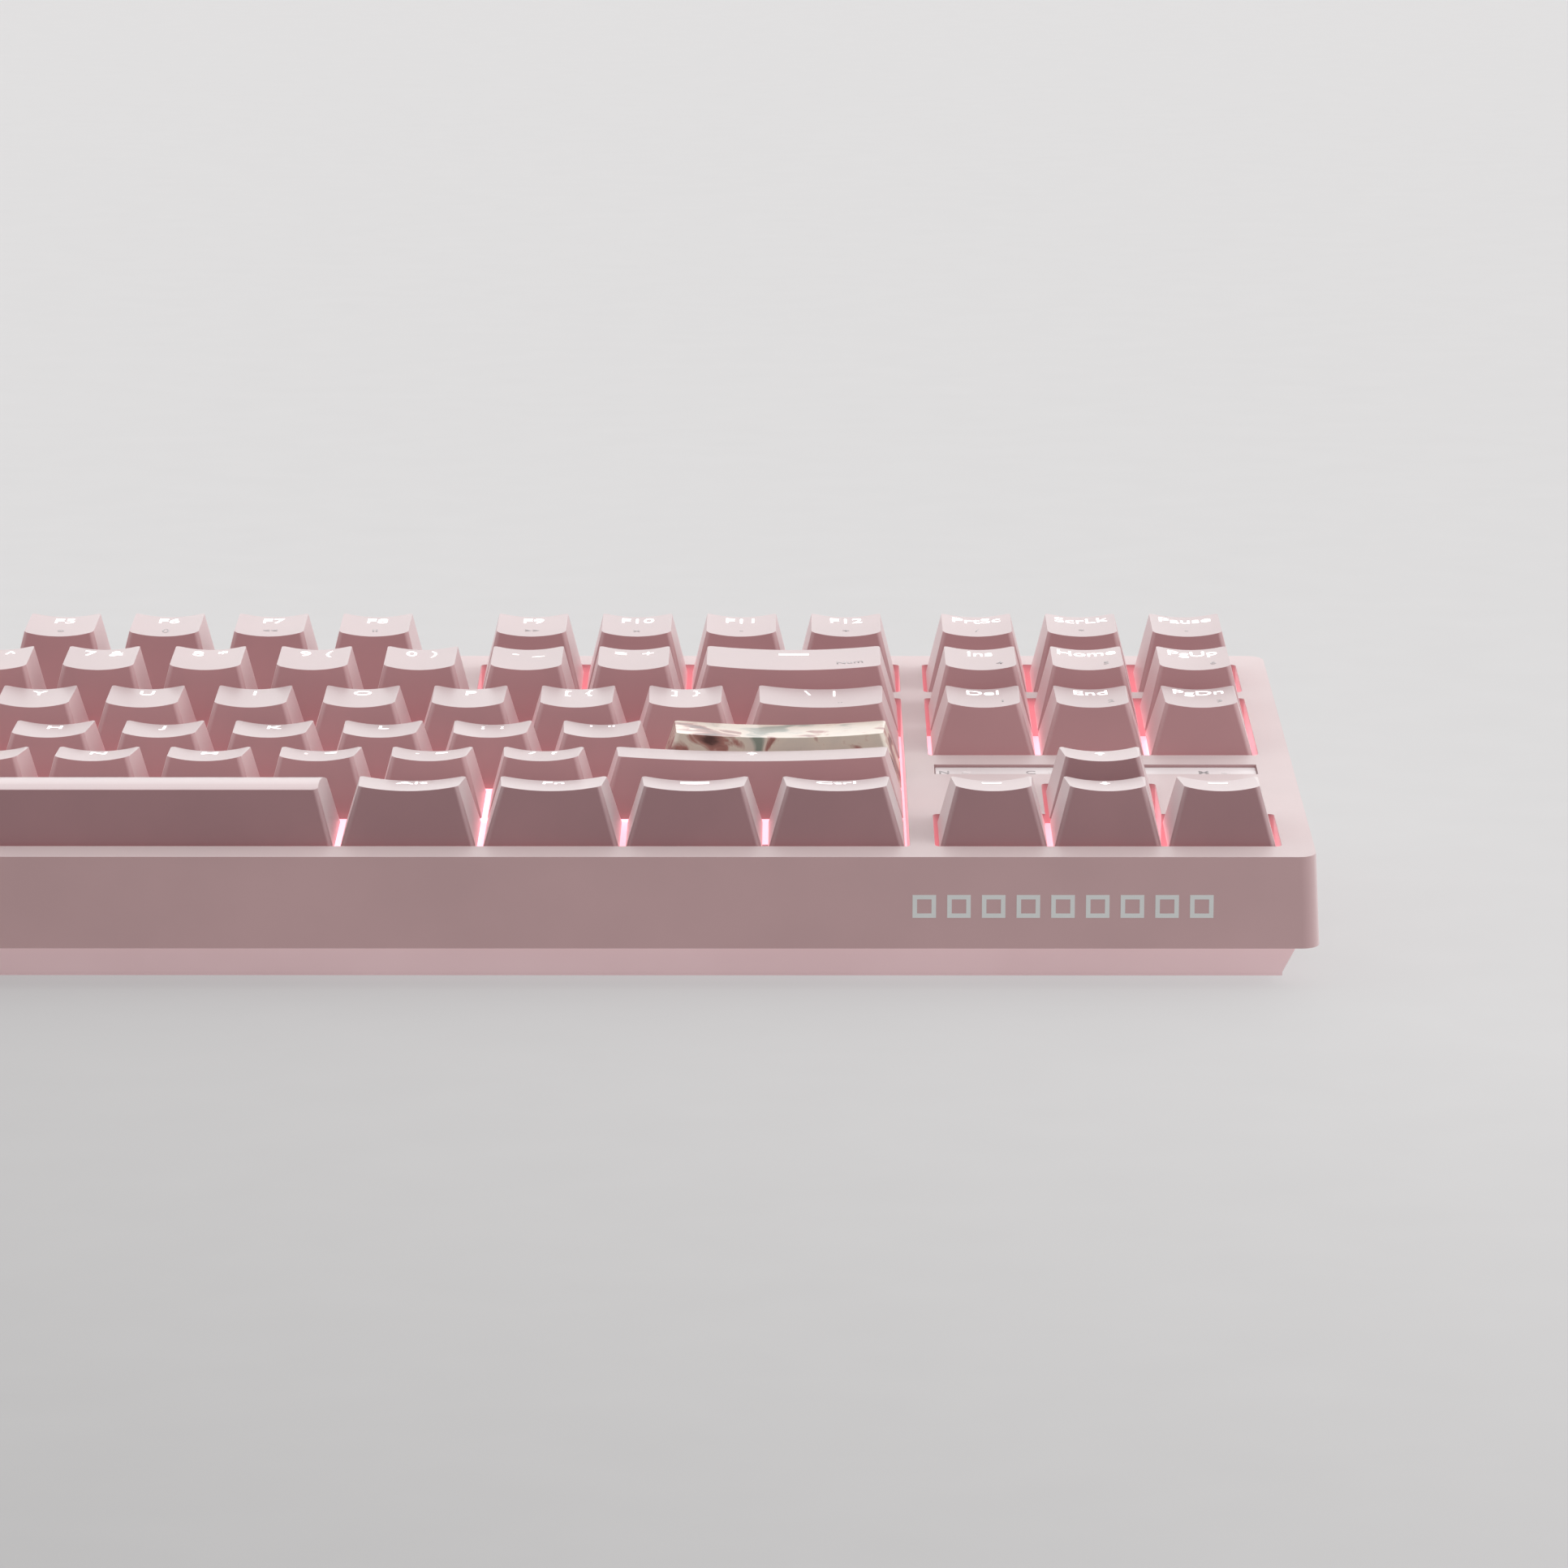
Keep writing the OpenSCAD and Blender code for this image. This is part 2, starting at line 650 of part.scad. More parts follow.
module escape_keycap() keycaps(escape_keys);
module escape_stem() stems(escape_keys);
module function_keycaps() keycaps(function_keys);
module function_stems() stems(function_keys);
module system_keycaps() keycaps(system_keys);
module system_stems() stems(system_keys);
module number_keycaps() keycaps(number_keys);
module number_stems() stems(number_keys);
module backspace_keycap() keycaps(backspace_keys);
module backspace_stems() stems(backspace_keys);
module tab_keycap() keycaps(tab_keys);
module tab_stem() stems(tab_keys);
module top_letter_keycaps() keycaps(top_letter_keys);
module top_letter_stems() stems(top_letter_keys);
module backslash_keycap() keycaps(backslash_keys);
module backslash_stem() stems(backslash_keys);
module caps_lock_keycap() keycaps(caps_keys);
module caps_lock_stem() stems(caps_keys);
module home_letter_keycaps() keycaps(home_letter_keys);
module home_letter_stems() stems(home_letter_keys);
module enter_keycap() keycaps(enter_keys);
module enter_stems() stems(enter_keys);
module left_shift_keycap() keycaps(left_shift_keys);
module left_shift_stems() stems(left_shift_keys);
module bottom_letter_keycaps() keycaps(bottom_letter_keys);
module bottom_letter_stems() stems(bottom_letter_keys);
module right_shift_keycap() keycaps(right_shift_keys);
module right_shift_stems() stems(right_shift_keys);
module left_modifier_keycaps() keycaps(left_modifier_keys);
module left_modifier_stems() stems(left_modifier_keys);
module space_bar_keycap() keycaps(space_keys);
module space_bar_stems() stems(space_keys);
module right_modifier_keycaps() keycaps(right_modifier_keys);
module right_modifier_stems() stems(right_modifier_keys);
module navigation_keycaps() keycaps(navigation_keys);
module navigation_stems() stems(navigation_keys);
module arrow_keycaps() keycaps(arrow_keys);
module arrow_stems() stems(arrow_keys);
module space_bar_wire() stabilizer_wire(space_keys[0]);
module backspace_wire() stabilizer_wire(backspace_keys[0]);
module enter_wire() stabilizer_wire(enter_keys[0]);
module left_shift_wire() stabilizer_wire(left_shift_keys[0]);
module right_shift_wire() stabilizer_wire(right_shift_keys[0]);

top_case();
bottom_case();
switch_plate();
circuit_board();
controller_chips();
socket_board();
switch_top_housings();
switch_bottom_housings();
switch_springs();
stabilizer_housings();
backlight_leds();
indicator_window();
case_screws();
usb_port();
rubber_pads();
left_flip_foot();
right_flip_foot();
escape_keycap();
escape_stem();
function_keycaps();
function_stems();
system_keycaps();
system_stems();
number_keycaps();
number_stems();
backspace_keycap();
backspace_stems();
tab_keycap();
tab_stem();
top_letter_keycaps();
top_letter_stems();
backslash_keycap();
backslash_stem();
caps_lock_keycap();
caps_lock_stem();
home_letter_keycaps();
home_letter_stems();
enter_keycap();
enter_stems();
left_shift_keycap();
left_shift_stems();
bottom_letter_keycaps();
bottom_letter_stems();
right_shift_keycap();
right_shift_stems();
left_modifier_keycaps();
left_modifier_stems();
space_bar_keycap();
space_bar_stems();
right_modifier_keycaps();
right_modifier_stems();
navigation_keycaps();
navigation_stems();
arrow_keycaps();
arrow_stems();
space_bar_wire();
backspace_wire();
enter_wire();
left_shift_wire();
right_shift_wire();
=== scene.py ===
# %% [markdown]
# # A tenkeyless mechanical keyboard
# The frame already holds every working piece at its real place: case, plate, switches, caps, feet.
# It could be rendered as it is, but moulded plastic is read by its rounded edges, its finger
# dishes and its printed legends. So the frame is loaded first, and the visible mouldings are
# modelled again around it, each riding on the body that it belongs to.

# %% Load the frame
import json
import math

import bmesh
import bpy
from mathutils import Matrix, Vector


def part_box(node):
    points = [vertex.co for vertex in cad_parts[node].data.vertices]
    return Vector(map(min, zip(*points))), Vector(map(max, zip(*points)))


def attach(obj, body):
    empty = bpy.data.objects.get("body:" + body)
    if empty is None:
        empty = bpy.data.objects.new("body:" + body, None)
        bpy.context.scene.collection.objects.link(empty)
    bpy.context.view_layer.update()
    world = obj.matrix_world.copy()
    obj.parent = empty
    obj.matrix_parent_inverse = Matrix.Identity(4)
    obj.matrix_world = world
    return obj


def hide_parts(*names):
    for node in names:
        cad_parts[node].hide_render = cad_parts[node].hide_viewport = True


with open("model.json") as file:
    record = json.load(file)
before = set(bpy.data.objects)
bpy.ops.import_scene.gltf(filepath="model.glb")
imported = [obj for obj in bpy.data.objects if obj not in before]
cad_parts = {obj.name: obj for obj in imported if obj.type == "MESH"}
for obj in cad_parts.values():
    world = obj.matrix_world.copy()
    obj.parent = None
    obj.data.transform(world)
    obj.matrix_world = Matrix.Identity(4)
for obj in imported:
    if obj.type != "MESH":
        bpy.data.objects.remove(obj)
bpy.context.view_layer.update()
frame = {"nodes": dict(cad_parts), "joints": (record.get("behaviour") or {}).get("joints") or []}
joints = {joint["name"]: joint for joint in frame["joints"]}

# %% [markdown]
# ## The key deck's own axes
# A keyboard is drawn flat and then tilted towards the typist. Modelling on a tilted plane is
# awkward, so every piece is made flat, in millimetres, with y from the front edge of the bottom
# row and z from the top of the bezel. One matrix then puts a finished piece in its real place.
# The tilt is read from the direction in which a key travels, and the place from the top case.

# %% Deck axes and driving sizes
MM = 0.001
PITCH = 19.05
NAV_GAP = PITCH / 4
FUNCTION_GAP = 5
SIDE_BORDER = 5.7
FRONT_BORDER = 6.7
CASE_HEIGHT = 15.6
DRAFT = 0.8
CASE_CORNER = 3

MAIN_WIDTH = 15 * PITCH
LEFT = -(MAIN_WIDTH + NAV_GAP + 3 * PITCH) / 2
NAV_UNIT = (MAIN_WIDTH + NAV_GAP) / PITCH
NAV_MIDDLE = LEFT + MAIN_WIDTH + NAV_GAP + 1.5 * PITCH
ROWS = [0, PITCH, 2 * PITCH, 3 * PITCH, 4 * PITCH, 5 * PITCH + FUNCTION_GAP]
CASE_FRONT = -FRONT_BORDER
CASE_BACK = ROWS[5] + PITCH + FRONT_BORDER
CASE_HALF = -LEFT + SIDE_BORDER

press = joints["escape_press"]["axis"]
tilt = math.atan2(press[1], -press[2])
case_low, case_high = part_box("top_case")
deck_y = case_low.y / MM - CASE_FRONT * math.cos(tilt)
deck_z = case_high.z / MM - CASE_BACK * math.sin(tilt)
TO_WORLD = (Matrix.Diagonal((MM, MM, MM, 1)) @ Matrix.Translation((0, deck_y, deck_z))
            @ Matrix.Rotation(tilt, 4, "X"))
print("typing angle in degrees:", round(math.degrees(tilt), 2))

# %% [markdown]
# ## Working helpers
# Every step below begins by deselecting everything, because an operator acts on all that is
# selected. `box` adds a cube at its size and place. `choose` opens edit mode with just the parts
# that pass a test, and `done` closes it. `cut` applies a Boolean modifier, which takes the tool
# away from the piece, or adds it, or keeps what they share. That is how a moulder's drawing is
# read too: a block, less its openings, plus its bosses. `place` puts a finished piece, drawn in
# the deck's axes, on its body in the frame.

# %% Helpers for solids
SMOOTH_ANGLE = math.radians(42)


def alone(piece):
    bpy.ops.object.select_all(action="DESELECT")
    piece.select_set(True)
    bpy.context.view_layer.objects.active = piece


def box(name, low, high):
    bpy.ops.object.select_all(action="DESELECT")
    middle = [(a + b) / 2 for a, b in zip(low, high)]
    bpy.ops.mesh.primitive_cube_add(size=1, location=middle)
    piece = bpy.context.object
    piece.name = name
    piece.scale = [b - a for a, b in zip(low, high)]
    bpy.ops.object.transform_apply(location=True, rotation=True, scale=True)
    return piece


def choose(piece, kind, test):
    alone(piece)
    bpy.ops.object.mode_set(mode="EDIT")
    bpy.ops.mesh.select_mode(type=kind)
    bpy.ops.mesh.select_all(action="DESELECT")
    mesh = bmesh.from_edit_mesh(piece.data)
    mesh.normal_update()
    for part in {"VERT": mesh.verts, "EDGE": mesh.edges, "FACE": mesh.faces}[kind]:
        part.select_set(bool(test(part)))
    bmesh.update_edit_mesh(piece.data)


def done():
    bpy.ops.object.mode_set(mode="OBJECT")


def upright(edge):
    a, b = edge.verts
    return abs((a.co - b.co).normalized().z) > 0.6


def modify(piece, kind, **settings):
    alone(piece)
    modifier = piece.modifiers.new(kind.lower(), kind)
    for name, value in settings.items():
        setattr(modifier, name, value)
    bpy.ops.object.modifier_apply(modifier=modifier.name)
    return piece


def cut(piece, tool, how="DIFFERENCE"):
    modify(piece, "BOOLEAN", object=tool, operation=how, solver="EXACT")
    bpy.data.objects.remove(tool)
    return piece


def round_uprights(piece, radius, steps):
    choose(piece, "EDGE", upright)
    bpy.ops.mesh.bevel(offset=radius, segments=steps, affect="EDGES")
    done()
    return piece


def soften(piece, width, steps=2, angle=38):
    modify(piece, "BEVEL", width=width, segments=steps, limit_method="ANGLE",
           angle_limit=math.radians(angle), harden_normals=False)
    alone(piece)
    bpy.ops.object.shade_smooth_by_angle(angle=SMOOTH_ANGLE)
    return piece


def flat_faces_first(piece):
    modify(piece, "WEIGHTED_NORMAL", keep_sharp=True, weight=80)


def join(name, pieces):
    bpy.ops.object.select_all(action="DESELECT")
    for piece in pieces:
        piece.select_set(True)
    bpy.context.view_layer.objects.active = pieces[0]
    bpy.ops.object.join()
    pieces[0].name = name
    pieces[0].data.name = name
    return pieces[0]


def move(piece, x, y, z=0):
    piece.data.transform(Matrix.Translation((x, y, z)))
    return piece


def copy_of(piece):
    twin = piece.copy()
    twin.data = piece.data.copy()
    bpy.context.scene.collection.objects.link(twin)
    return twin


def disc(name, radius, depth, middle):
    bpy.ops.object.select_all(action="DESELECT")
    bpy.ops.mesh.primitive_cylinder_add(vertices=24, radius=radius, depth=depth, location=middle)
    bpy.ops.object.transform_apply(location=True, rotation=True, scale=True)
    bpy.context.object.name = name
    return bpy.context.object


def paint(piece, finish):
    piece.data.materials.clear()
    piece.data.materials.append(finish)


def place(piece, body, *replaced, slot, finish):
    piece.data.transform(TO_WORLD)
    paint(piece, finish)
    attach(piece, body)
    if replaced:
        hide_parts(*replaced)
    print(piece.name, "faces:", len(piece.data.polygons))


# %% [markdown]
# ## The plastics and metals
# All of the mouldings are dyed plastic: one colour right through, with a faint cloudiness where
# the dye is thicker, and a fine spark-eroded texture that breaks up its shine. A flat colour would
# look like a render preview, so each finish mixes two close tones with a large soft noise, and a
# second, very fine noise varies its roughness and gives it a bump. The patterns are laid on Object
# coordinates, in metres, so they're the same size on every piece. A `bloom` is the velvety haze
# that a fine texture gives at a low angle, and a `coat` is a thin polish.

# %% Material helper
CLOUD_SCALE = 45
CLOUD_FROM, CLOUD_TO = 0.35, 0.68
GRAIN_DEPTH = 0.0001
WALL_FROM, WALL_TO = 0.85, 0.4


def moulded(name, tone, second, roughness, grain=2600, bump=0.04, glow=None, strength=0.0,
            metal=0.0, bloom=0.0, coat=0.0):
    material = bpy.data.materials.new(name)
    material.use_nodes = True
    nodes, links = material.node_tree.nodes, material.node_tree.links
    shader = nodes["Principled BSDF"]
    place_node = nodes.new("ShaderNodeTexCoord")
    cloud = nodes.new("ShaderNodeTexNoise")
    cloud.inputs["Scale"].default_value = CLOUD_SCALE
    cloud.inputs["Detail"].default_value = 3
    tones = nodes.new("ShaderNodeValToRGB")
    tones.color_ramp.elements[0].position = CLOUD_FROM
    tones.color_ramp.elements[0].color = (*tone, 1)
    tones.color_ramp.elements[1].position = CLOUD_TO
    tones.color_ramp.elements[1].color = (*second, 1)
    fine = nodes.new("ShaderNodeTexNoise")
    fine.inputs["Scale"].default_value = grain
    fine.inputs["Detail"].default_value = 2
    spread = nodes.new("ShaderNodeMapRange")
    spread.inputs["To Min"].default_value = roughness - 0.05
    spread.inputs["To Max"].default_value = roughness + 0.07
    relief = nodes.new("ShaderNodeBump")
    relief.inputs["Strength"].default_value = bump
    relief.inputs["Distance"].default_value = GRAIN_DEPTH
    links.new(place_node.outputs["Object"], cloud.inputs["Vector"])
    links.new(place_node.outputs["Object"], fine.inputs["Vector"])
    links.new(cloud.outputs["Fac"], tones.inputs["Fac"])
    links.new(tones.outputs["Color"], shader.inputs["Base Color"])
    links.new(fine.outputs["Fac"], spread.inputs["Value"])
    links.new(spread.outputs["Result"], shader.inputs["Roughness"])
    links.new(fine.outputs["Fac"], relief.inputs["Height"])
    links.new(relief.outputs["Normal"], shader.inputs["Normal"])
    shader.inputs["Metallic"].default_value = metal
    shader.inputs["Coat Weight"].default_value = coat
    shader.inputs["Coat Roughness"].default_value = 0.3
    shader.inputs["Sheen Weight"].default_value = bloom
    shader.inputs["Sheen Roughness"].default_value = 0.5
    if glow:
        shader.inputs["Emission Color"].default_value = (*glow, 1)
        shader.inputs["Emission Strength"].default_value = strength
    return material


# Painted glow: the finish's emission is kept to faces that stand upright and fades out towards the
# tops.
def painted_glow_on_walls(material):
    nodes, links = material.node_tree.nodes, material.node_tree.links
    shader = nodes["Principled BSDF"]
    facing = nodes.new("ShaderNodeSeparateXYZ")
    fade = nodes.new("ShaderNodeMapRange")
    fade.inputs["From Min"].default_value = WALL_FROM
    fade.inputs["From Max"].default_value = WALL_TO
    fade.inputs["To Max"].default_value = shader.inputs["Emission Strength"].default_value
    links.new(nodes.new("ShaderNodeNewGeometry").outputs["Normal"], facing.inputs["Vector"])
    links.new(facing.outputs["Z"], fade.inputs["Value"])
    links.new(fade.outputs["Result"], shader.inputs["Emission Strength"])


# %% [markdown]
# The finishes are then named for what they're on. The backlight needs a word: each switch has a
# pink lamp under it, and its clear-topped housing scatters that light over the white plate. Lamps
# alone would be lost behind the housings, so the housings and the plate carry a painted glow
# instead, which is what the eye sees between the keys, and the clear legends carry a painted glow
# for the light coming through them. The walls of the caps get a faint painted glow as well,
# standing in for backlight showing through them, and the walls of the case a fainter pink one.
# Their tops get none, so those two finishes glow only on faces that stand upright. The tray is
# painted much paler than the case and given a faint glow, painted light for what the floor throws
# up onto its front.

# %% Finishes
# Case: its own pink, plus a faint painted pink glow on its upright walls.
case_pink = moulded("case_pink", (0.48, 0.337, 0.342), (0.52, 0.363, 0.368), 0.48, coat=0.08,
                    bloom=0.75, glow=(1.0, 0.28, 0.30), strength=0.05)
# Tray: painted much paler than the case and given a faint painted glow, standing in for light from
# the floor on its front.
tray_pink = moulded("tray_pink", (0.92, 0.66, 0.68), (0.96, 0.70, 0.72), 0.48,
                    glow=(1.0, 0.72, 0.75), strength=0.06)
cap_pink = moulded("cap_pink", (0.35, 0.19, 0.203), (0.39, 0.21, 0.223), 0.42, coat=0.40,
                   bloom=0.8)
# Caps of the backlit groups: nearly the same pink, with a faint painted glow on their walls for
# backlight showing through.
cap_painted_glow = moulded("cap_painted_glow", (0.33, 0.19, 0.20), (0.37, 0.21, 0.22), 0.42, coat=0.42,
                  bloom=0.62, glow=(1.0, 0.42, 0.44), strength=0.12)
# Legends: white, with a painted glow for the backlight shining through them.
legend_light = moulded("legend_light", (0.95, 0.93, 0.94), (1.0, 0.98, 0.98), 0.35,
                       glow=(1.0, 0.95, 0.96), strength=0.9)
legend_grey = moulded("legend_grey", (0.42, 0.38, 0.39), (0.48, 0.44, 0.45), 0.5)
# Housings and plate: a painted glow in place of the lamps' light between the keys.
housing_glow = moulded("housing_glow", (0.93, 0.70, 0.76), (0.96, 0.76, 0.81), 0.25,
                       glow=(1.0, 0.42, 0.48), strength=1.35)
plate_glow = moulded("plate_glow", (0.90, 0.70, 0.74), (0.94, 0.76, 0.80), 0.4,
                     glow=(1.0, 0.38, 0.45), strength=1.1)
stem_red = moulded("stem_red", (0.45, 0.05, 0.09), (0.55, 0.07, 0.12), 0.3)
lamp_pink = moulded("lamp_pink", (1.0, 0.35, 0.5), (1.0, 0.4, 0.55), 0.3,
                    glow=(1.0, 0.48, 0.56), strength=1.5)
board_dark = moulded("board_dark", (0.05, 0.02, 0.03), (0.08, 0.03, 0.04), 0.35)
chip_black = moulded("chip_black", (0.012, 0.012, 0.013), (0.02, 0.02, 0.021), 0.4)
steel = moulded("steel", (0.55, 0.55, 0.56), (0.62, 0.62, 0.63), 0.28, metal=1.0)
window_white = moulded("window_white", (0.70, 0.63, 0.64), (0.75, 0.68, 0.69), 0.4)
lens_clear = moulded("lens_clear", (0.84, 0.79, 0.80), (0.88, 0.83, 0.84), 0.2, coat=0.3)
mark_grey = moulded("mark_grey", (0.74, 0.76, 0.75), (0.78, 0.80, 0.79), 0.5)
pad_rubber = moulded("pad_rubber", (0.62, 0.60, 0.60), (0.68, 0.66, 0.66), 0.7)
for lit in (case_pink, cap_painted_glow):
    painted_glow_on_walls(lit)
print("finishes:", len(bpy.data.materials))

# %% [markdown]
# One cap is a show piece: the wide enter key is dyed like polished stone, cream with clouds of
# brown and grey-green. A noise that is bent by a second noise gives the drifting clouds of such a
# pour, where a plain noise would give round blots.

# %% Marbled cap
BEND_SCALE = 70
VEIN_SCALE = 85
BEND_REACH = 0.03
cap_marble = moulded("cap_marble", (0.5, 0.5, 0.5), (0.5, 0.5, 0.5), 0.3, coat=0.4)
marble_nodes, marble_links = cap_marble.node_tree.nodes, cap_marble.node_tree.links
marble_place = marble_nodes["Texture Coordinate"]
bend = marble_nodes.new("ShaderNodeTexNoise")
bend.inputs["Scale"].default_value = BEND_SCALE
bent = marble_nodes.new("ShaderNodeVectorMath")
bent.operation = "MULTIPLY_ADD"
bent.inputs[1].default_value = (BEND_REACH, BEND_REACH, BEND_REACH)
veins = marble_nodes.new("ShaderNodeTexNoise")
veins.inputs["Scale"].default_value = VEIN_SCALE
veins.inputs["Detail"].default_value = 5
pour = marble_nodes.new("ShaderNodeValToRGB")
pour.color_ramp.elements[0].position = 0.36
pour.color_ramp.elements[0].color = (0.10, 0.045, 0.04, 1)
pour.color_ramp.elements[1].position = 0.66
pour.color_ramp.elements[1].color = (0.26, 0.30, 0.25, 1)
for position, colour in ((0.44, (0.42, 0.20, 0.17, 1)), (0.48, (0.72, 0.64, 0.54, 1)),
                         (0.58, (0.66, 0.60, 0.52, 1))):
    pour.color_ramp.elements.new(position).color = colour
marble_links.new(marble_place.outputs["Object"], bend.inputs["Vector"])
marble_links.new(bend.outputs["Color"], bent.inputs[0])
marble_links.new(marble_place.outputs["Object"], bent.inputs[2])
marble_links.new(bent.outputs["Vector"], veins.inputs["Vector"])
marble_links.new(veins.outputs["Fac"], pour.inputs["Fac"])
marble_links.new(pour.outputs["Color"], marble_nodes["Principled BSDF"].inputs["Base Color"])
print("clouds in the marbled cap:", len(pour.color_ramp.elements))

# %% [markdown]
# ## Top case
# The bezel is one moulding: a shallow box with drafted walls, so that it leaves its mould, round
# corners, and a separate opening for each cluster of keys. Walls could be built one by one and
# joined, but it's simpler to start from the outer block, widen its lower face for the draft, bevel
# the upright edges, and cut each opening with a block whose own corners are round.

# %% Top case
CLUSTERS = [(0, 1, ROWS[5], ROWS[5] + PITCH), (2, 4, ROWS[5], ROWS[5] + PITCH),
            (6.5, 4, ROWS[5], ROWS[5] + PITCH), (11, 4, ROWS[5], ROWS[5] + PITCH),
            (NAV_UNIT, 3, ROWS[5], ROWS[5] + PITCH), (0, 15, 0, ROWS[4] + PITCH),
            (NAV_UNIT, 3, ROWS[3], ROWS[4] + PITCH)]
ARROW_ROW = (NAV_UNIT, 3, 0, PITCH)
ARROW_TOP = (NAV_UNIT + 1, 1, PITCH / 2, 2 * PITCH)
OPENING_GAP = 0.3
OPENING_CORNER = 0.9
RIM_BOTTOM = -7.1
WALL = 2.4
WINDOW_Y = 2.5 * PITCH
WINDOW_HALF = 28
WINDOW_DEPTH = 6.1


def opening(cluster):
    first, count, front, back = cluster
    left = LEFT + first * PITCH
    tool = box("opening", (left - OPENING_GAP, front - OPENING_GAP, RIM_BOTTOM - 2),
               (left + count * PITCH + OPENING_GAP, back + OPENING_GAP, 2))
    return round_uprights(tool, OPENING_CORNER, 4)


top_case = box("top_case_shell", (-CASE_HALF, CASE_FRONT, -CASE_HEIGHT), (CASE_HALF, CASE_BACK, 0))
middle = (CASE_FRONT + CASE_BACK) / 2
depth = CASE_BACK - CASE_FRONT
choose(top_case, "FACE", lambda face: face.normal.z < -0.5)
bpy.ops.transform.resize(value=((CASE_HALF + DRAFT) / CASE_HALF, (depth + 2 * DRAFT) / depth, 1),
                         center_override=(0, middle, -CASE_HEIGHT))
done()
round_uprights(top_case, CASE_CORNER, 8)
cut(top_case, box("hollow", (-CASE_HALF + WALL, CASE_FRONT + WALL, -CASE_HEIGHT - 1),
                  (CASE_HALF - WALL, CASE_BACK - WALL, RIM_BOTTOM)))
for cluster in CLUSTERS:
    cut(top_case, opening(cluster))
cut(top_case, cut(opening(ARROW_ROW), opening(ARROW_TOP), "UNION"))
cut(top_case, box("slot", (NAV_MIDDLE - WINDOW_HALF, WINDOW_Y - WINDOW_DEPTH / 2, RIM_BOTTOM - 2),
                  (NAV_MIDDLE + WINDOW_HALF, WINDOW_Y + WINDOW_DEPTH / 2, 2)))
soften(top_case, 0.35)
flat_faces_first(top_case)
place(top_case, "case", "top_case", slot="case", finish=case_pink)

# %% [markdown]
# ## Keycaps
# A cap is a hollow block with a wide skirt, a smaller top set towards the back, and a shallow
# cylindrical dish for the finger. Each row has its own height and slope, so that the tops form a
# gentle bowl. One cap is modelled for each row and width, and copied along its row. Its block is a
# cube whose top face is moved back and narrowed. The dish is cut with a very large cylinder that
# lies from front to back, and the space bar is arched instead, so that a thumb can meet it.

# %% Keycap sizes by row, from the bottom row to the function row
TOP_FRONT = [9.1, 9, 7.95, 8.25, 10.05, 10.05]
TOP_BACK = [6.9, 6.85, 6.4, 7.75, 10.05, 10.05]
TOP_FRONT_Y = 4.25
TOP_BACK_Y = 18.3
CAP_GAP = 0.95
CAP_BOTTOM = -1
CAP_WALL = 1.4
CAP_ROOF = 1.5
CAP_CORNER = 0.9
CAP_EDGE = 0.32
HOLLOW_DROP = 0.01
DISH = 0.8
DISH_LENGTH = 60
DISH_FACET = 1.1
CROWN = 0.9
CROWN_LENGTH = 200
BOSS_RADIUS = 2.7
BOSS_BOTTOM, BOSS_TOP = -0.5, 5
CROSS_REACH = 2.05
CROSS_HALF = 0.625
CROSS_BOTTOM, CROSS_TOP = -4, 3.2


def side_slope(width):
    return 3.1 if width > 1 else 2.75


def boss_places(width):
    reach = 50 if width > 6 else 11.94
    return [-reach, 0, reach] if width >= 2 else [0]


def cap_block(name, row, width, inset, lower):
    half = width * PITCH / 2 - CAP_GAP / 2 - inset
    front, back = CAP_GAP / 2 + inset, PITCH - CAP_GAP / 2 - inset
    block = box(name, (-half, front, CAP_BOTTOM), (half, back, 0))
    tall = max(TOP_FRONT[row], TOP_BACK[row])
    for edge, y, z in ((front, TOP_FRONT_Y + inset, TOP_FRONT[row]),
                       (back, TOP_BACK_Y - inset, TOP_BACK[row])):
        choose(block, "VERT", lambda v, e=edge: v.co.z > -0.1 and abs(v.co.y - e) < 0.01)
        narrow = side_slope(width) * (z - CAP_BOTTOM) / (tall - CAP_BOTTOM)
        bpy.ops.transform.resize(value=((half - narrow) / half, 1, 1), center_override=(0, edge, 0))
        bpy.ops.transform.translate(value=(0, y - edge, z - lower))
        done()
    return block


def top_cylinder(row, width):
    run, rise = TOP_BACK_Y - TOP_FRONT_Y, TOP_BACK[row] - TOP_FRONT[row]
    slope = math.atan2(rise, run)
    middle_y, middle_z = TOP_FRONT_Y + run / 2, TOP_FRONT[row] + rise / 2
    if width > 6:
        half = math.hypot(run, rise) / 2
        radius = half * half / (2 * CROWN) + CROWN / 2
        lift = -(radius - CROWN / 2)
        turn = (0, math.pi / 2, 0)
        length, steps = CROWN_LENGTH, 180
    else:
        half = width * PITCH / 2 - CAP_GAP / 2 - side_slope(width)
        radius = half * half / (2 * DISH) + DISH / 2
        lift = radius - DISH
        turn = (math.pi / 2 + slope, 0, 0)
        length, steps = DISH_LENGTH, max(200, int(2 * math.pi * radius / DISH_FACET))
    bpy.ops.object.select_all(action="DESELECT")
    bpy.ops.mesh.primitive_cylinder_add(
        vertices=steps, radius=radius, depth=length, rotation=turn,
        location=(0, middle_y - lift * math.sin(slope), middle_z + lift * math.cos(slope)))
    bpy.ops.object.transform_apply(location=True, rotation=True, scale=True)
    return bpy.context.object


def cross_tool(x):
    bars = [box("cross", (x - wide, PITCH / 2 - deep, CROSS_BOTTOM),
                (x + wide, PITCH / 2 + deep, CROSS_TOP))
            for wide, deep in ((CROSS_REACH, CROSS_HALF), (CROSS_HALF, CROSS_REACH))]
    return cut(bars[0], bars[1], "UNION")


